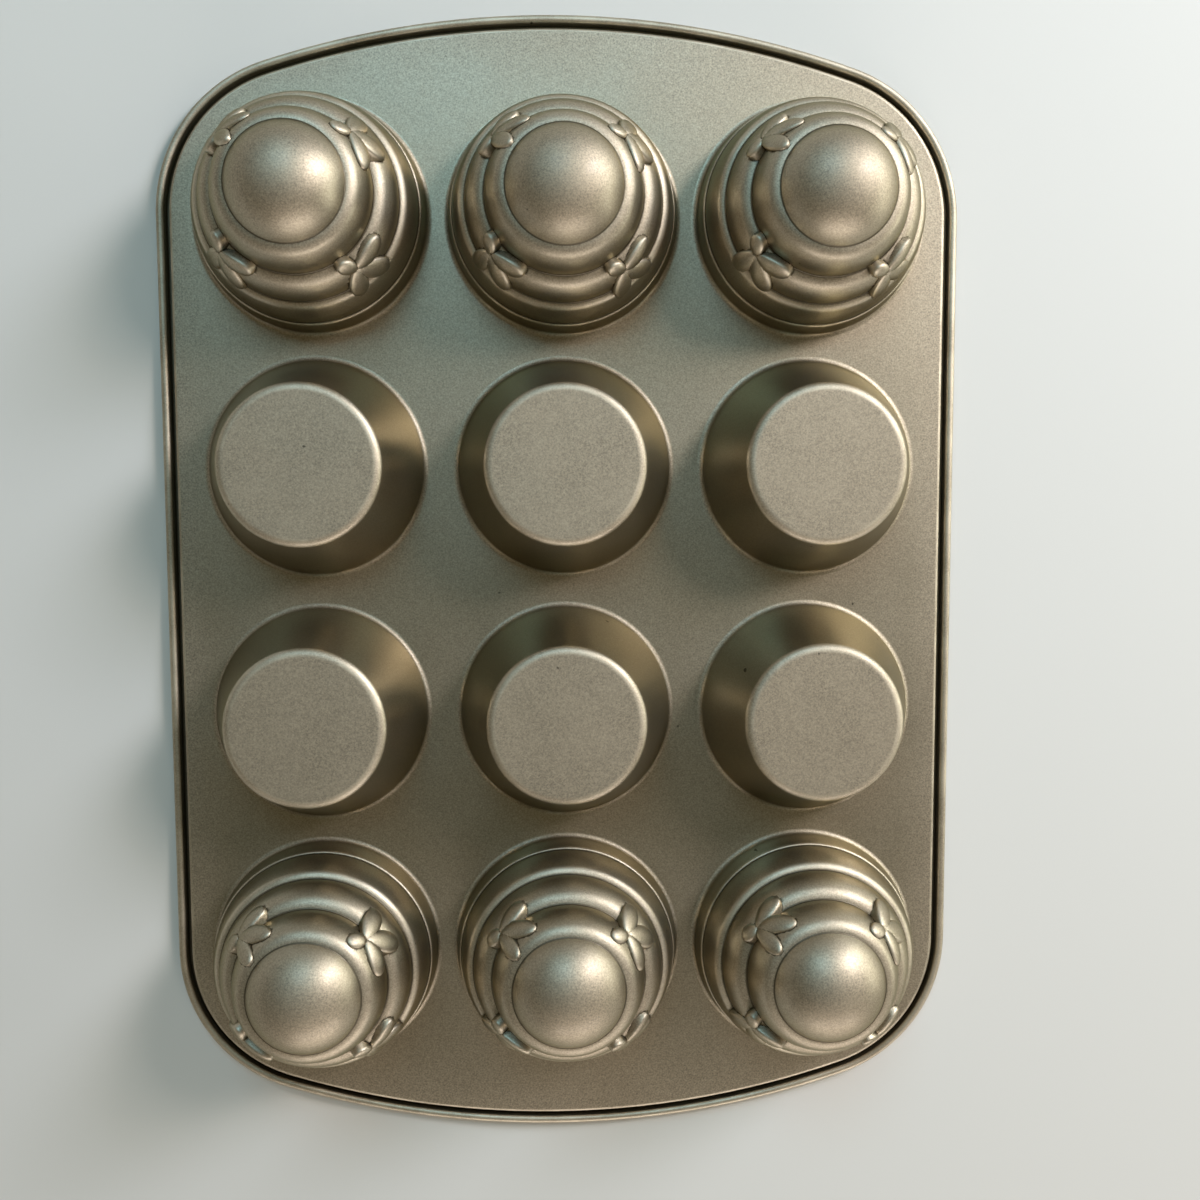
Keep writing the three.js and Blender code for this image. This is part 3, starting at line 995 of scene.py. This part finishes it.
class CAKEPAN_OT_hive_cups(Operator):
    """Add the six beehive cups with their bees"""

    bl_idname = "cakepan.hive_cups"
    bl_label = "Beehive cups"

    def execute(self, context):
        add_hive_cups(context.scene.cake_pan)
        return {"FINISHED"}


class CAKEPAN_OT_plain_cups(Operator):
    """Add the six plain tapered cups"""

    bl_idname = "cakepan.plain_cups"
    bl_label = "Plain cups"

    def execute(self, context):
        add_plain_cups(context.scene.cake_pan)
        return {"FINISHED"}


class CAKEPAN_OT_stage(Operator):
    """Add the floor, the lamps and the camera"""

    bl_idname = "cakepan.stage"
    bl_label = "Floor, lamps and camera"

    def execute(self, context):
        add_stage(context.scene.cake_pan)
        return {"FINISHED"}


class CAKEPAN_PT_panel(Panel):
    """Lists the pan's pieces and their settings"""

    bl_label = "Cake Pan"
    bl_idname = "CAKEPAN_PT_panel"
    bl_space_type = "VIEW_3D"
    bl_region_type = "UI"
    bl_category = "Cake Pan"

    def draw(self, context):
        for operator in OPERATORS:
            self.layout.operator(operator.bl_idname)
        for name in CakePan.__annotations__:
            settings = getattr(context.scene.cake_pan, name)
            box = self.layout.box()
            box.label(text=name.capitalize())
            for key in type(settings).__annotations__:
                box.prop(settings, key)


SETTINGS = (PlateSizes, HiveSizes, BeeSizes, PlainSizes, FinishLook, StageLook, CakePan)
OPERATORS = (
    CAKEPAN_OT_plate,
    CAKEPAN_OT_rim_wire,
    CAKEPAN_OT_hive_cups,
    CAKEPAN_OT_plain_cups,
    CAKEPAN_OT_stage,
)
CLASSES = (*SETTINGS, *OPERATORS, CAKEPAN_PT_panel)


def register():
    """Registers the settings, the operators and the panel."""
    for item in CLASSES:
        bpy.utils.register_class(item)
    bpy.types.Scene.cake_pan = PointerProperty(type=CakePan)


def unregister():
    """Takes the settings, the operators and the panel away again."""
    del bpy.types.Scene.cake_pan
    for item in reversed(CLASSES):
        bpy.utils.unregister_class(item)


def main():
    """Registers the add-on and builds the pan and its stage."""
    register()
    bpy.ops.cakepan.plate()
    bpy.ops.cakepan.rim_wire()
    bpy.ops.cakepan.hive_cups()
    bpy.ops.cakepan.plain_cups()
    bpy.ops.cakepan.stage()


if __name__ == "__main__":
    main()
